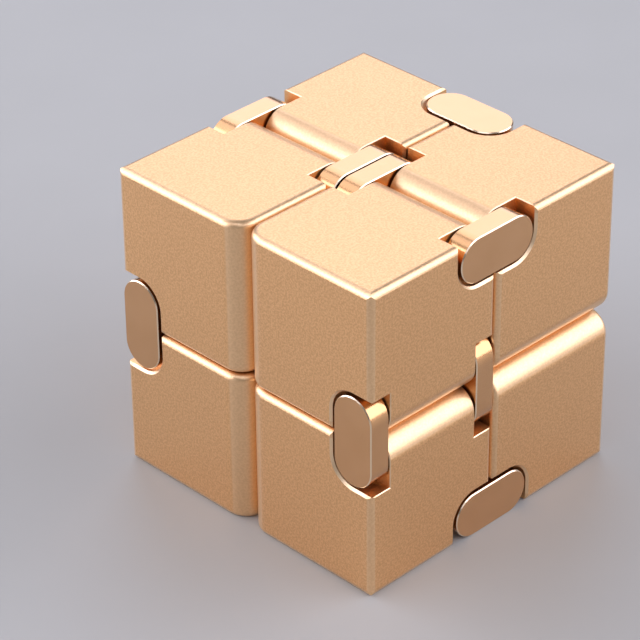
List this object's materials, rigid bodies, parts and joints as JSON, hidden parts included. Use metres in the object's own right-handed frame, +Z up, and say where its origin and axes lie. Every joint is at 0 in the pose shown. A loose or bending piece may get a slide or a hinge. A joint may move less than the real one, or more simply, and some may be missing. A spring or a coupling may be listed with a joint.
{
  "type": "folding fidget cube",
  "caption": "Cube of square metal blocks joined in a ring by two-pivot link hinges, so that it folds open and turns inside out in the hand.",
  "frame": {"origin": "middle of the closed cube's bottom", "axes": "+X to the right side, +Y to the back, +Z up; the front left corner is the one nearest the camera in the picture"},
  "size_m": [0.04, 0.04, 0.04],
  "materials": {
    "block": "bead-blasted and anodised rose gold, a little paler on its rounded edges",
    "plate": "smooth anodised rose gold",
    "pin": "plain ground steel"
  },
  "bodies": {
    "block_back_left_bottom": {"back_left_bottom": "block"},
    "block_front_left_top": {"front_left_top": "block", "front_side_upper_pin": "pin"},
    "block_front_right_top": {"front_right_top": "block"},
    "block_back_right_top": {"back_right_top": "block"},
    "block_back_left_top": {"back_left_top": "block"},
    "block_back_right_bottom": {"back_right_bottom": "block"},
    "block_front_right_bottom": {"front_right_bottom": "block"},
    "block_front_left_bottom": {"front_left_bottom": "block"},
    "link_top_front": {"top_front_outer_plate": "plate", "top_front_inner_plate": "plate", "top_front_left_pin": "pin", "top_front_right_pin": "pin"},
    "link_top_back": {"top_back_outer_plate": "plate", "top_back_inner_plate": "plate", "top_back_left_pin": "pin", "top_back_right_pin": "pin"},
    "link_right_upper": {"right_upper_outer_plate": "plate", "right_upper_inner_plate": "plate", "right_upper_front_pin": "pin", "right_upper_back_pin": "pin"},
    "link_right_lower": {"right_lower_outer_plate": "plate", "right_lower_inner_plate": "plate", "right_lower_front_pin": "pin", "right_lower_back_pin": "pin"},
    "link_back_side": {"back_side_outer_plate": "plate", "back_side_inner_plate": "plate", "back_side_lower_pin": "pin", "back_side_upper_pin": "pin"},
    "link_front_side": {"front_side_outer_plate": "plate", "front_side_inner_plate": "plate", "front_side_lower_pin": "pin"},
    "link_bottom_front": {"bottom_front_outer_plate": "plate", "bottom_front_inner_plate": "plate", "bottom_front_left_pin": "pin", "bottom_front_right_pin": "pin"},
    "link_bottom_back": {"bottom_back_outer_plate": "plate", "bottom_back_inner_plate": "plate", "bottom_back_left_pin": "pin", "bottom_back_right_pin": "pin"}
  },
  "joints": [
    {"name": "back_side_lower_pivot", "type": "hinge", "parent": "block_back_left_bottom", "child": "link_back_side", "pos_m": [-0.01, 0.01715, 0.017], "axis": [-1, 0, 0], "range_deg": [0, 90]},
    {"name": "back_side_upper_pivot", "type": "hinge", "parent": "link_back_side", "child": "block_back_left_top", "pos_m": [-0.01, 0.01715, 0.023], "axis": [-1, 0, 0], "range_deg": [0, 90]},
    {"name": "top_back_left_pivot", "type": "hinge", "parent": "block_back_left_top", "child": "link_top_back", "pos_m": [-0.003, 0.01, 0.03715], "axis": [0, -1, 0], "range_deg": [0, 90]},
    {"name": "top_back_right_pivot", "type": "hinge", "parent": "link_top_back", "child": "block_back_right_top", "pos_m": [0.003, 0.01, 0.03715], "axis": [0, -1, 0], "range_deg": [0, 90]},
    {"name": "right_upper_back_pivot", "type": "hinge", "parent": "block_back_right_top", "child": "link_right_upper", "pos_m": [0.01715, 0.003, 0.03], "axis": [0, 0, 1], "range_deg": [0, 90]},
    {"name": "right_upper_front_pivot", "type": "hinge", "parent": "link_right_upper", "child": "block_front_right_top", "pos_m": [0.01715, -0.003, 0.03], "axis": [0, 0, 1], "range_deg": [0, 90]},
    {"name": "top_front_right_pivot", "type": "hinge", "parent": "block_front_right_top", "child": "link_top_front", "pos_m": [0.003, -0.01, 0.03715], "axis": [0, 1, 0], "range_deg": [0, 90]},
    {"name": "top_front_left_pivot", "type": "hinge", "parent": "link_top_front", "child": "block_front_left_top", "pos_m": [-0.003, -0.01, 0.03715], "axis": [0, 1, 0], "range_deg": [0, 90]},
    {"name": "bottom_back_left_pivot", "type": "hinge", "parent": "block_back_left_bottom", "child": "link_bottom_back", "pos_m": [-0.003, 0.01, 0.00285], "axis": [0, 1, 0], "range_deg": [0, 90]},
    {"name": "bottom_back_right_pivot", "type": "hinge", "parent": "link_bottom_back", "child": "block_back_right_bottom", "pos_m": [0.003, 0.01, 0.00285], "axis": [0, 1, 0], "range_deg": [0, 90]},
    {"name": "right_lower_back_pivot", "type": "hinge", "parent": "block_back_right_bottom", "child": "link_right_lower", "pos_m": [0.01715, 0.003, 0.01], "axis": [0, 0, 1], "range_deg": [0, 90]},
    {"name": "right_lower_front_pivot", "type": "hinge", "parent": "link_right_lower", "child": "block_front_right_bottom", "pos_m": [0.01715, -0.003, 0.01], "axis": [0, 0, 1], "range_deg": [0, 90]},
    {"name": "bottom_front_right_pivot", "type": "hinge", "parent": "block_front_right_bottom", "child": "link_bottom_front", "pos_m": [0.003, -0.01, 0.00285], "axis": [0, -1, 0], "range_deg": [0, 90]},
    {"name": "bottom_front_left_pivot", "type": "hinge", "parent": "link_bottom_front", "child": "block_front_left_bottom", "pos_m": [-0.003, -0.01, 0.00285], "axis": [0, -1, 0], "range_deg": [0, 90]},
    {"name": "front_side_lower_pivot", "type": "hinge", "parent": "block_front_left_bottom", "child": "link_front_side", "pos_m": [-0.01, -0.01715, 0.017], "axis": [1, 0, 0], "range_deg": [0, 90]}
  ],
  "couplings": [
    {"joint": "right_upper_front_pivot", "follows": "right_upper_back_pivot", "ratio": 1},
    {"joint": "right_lower_back_pivot", "follows": "right_upper_back_pivot", "ratio": 1},
    {"joint": "right_lower_front_pivot", "follows": "right_upper_back_pivot", "ratio": 1},
    {"joint": "top_back_right_pivot", "follows": "top_back_left_pivot", "ratio": 1},
    {"joint": "top_front_right_pivot", "follows": "top_back_left_pivot", "ratio": 1},
    {"joint": "top_front_left_pivot", "follows": "top_back_left_pivot", "ratio": 1},
    {"joint": "bottom_back_right_pivot", "follows": "bottom_back_left_pivot", "ratio": 1},
    {"joint": "bottom_front_right_pivot", "follows": "bottom_back_left_pivot", "ratio": 1},
    {"joint": "bottom_front_left_pivot", "follows": "bottom_back_left_pivot", "ratio": 1},
    {"joint": "back_side_upper_pivot", "follows": "back_side_lower_pivot", "ratio": 1},
    {"joint": "front_side_lower_pivot", "follows": "back_side_lower_pivot", "ratio": 1}
  ]
}
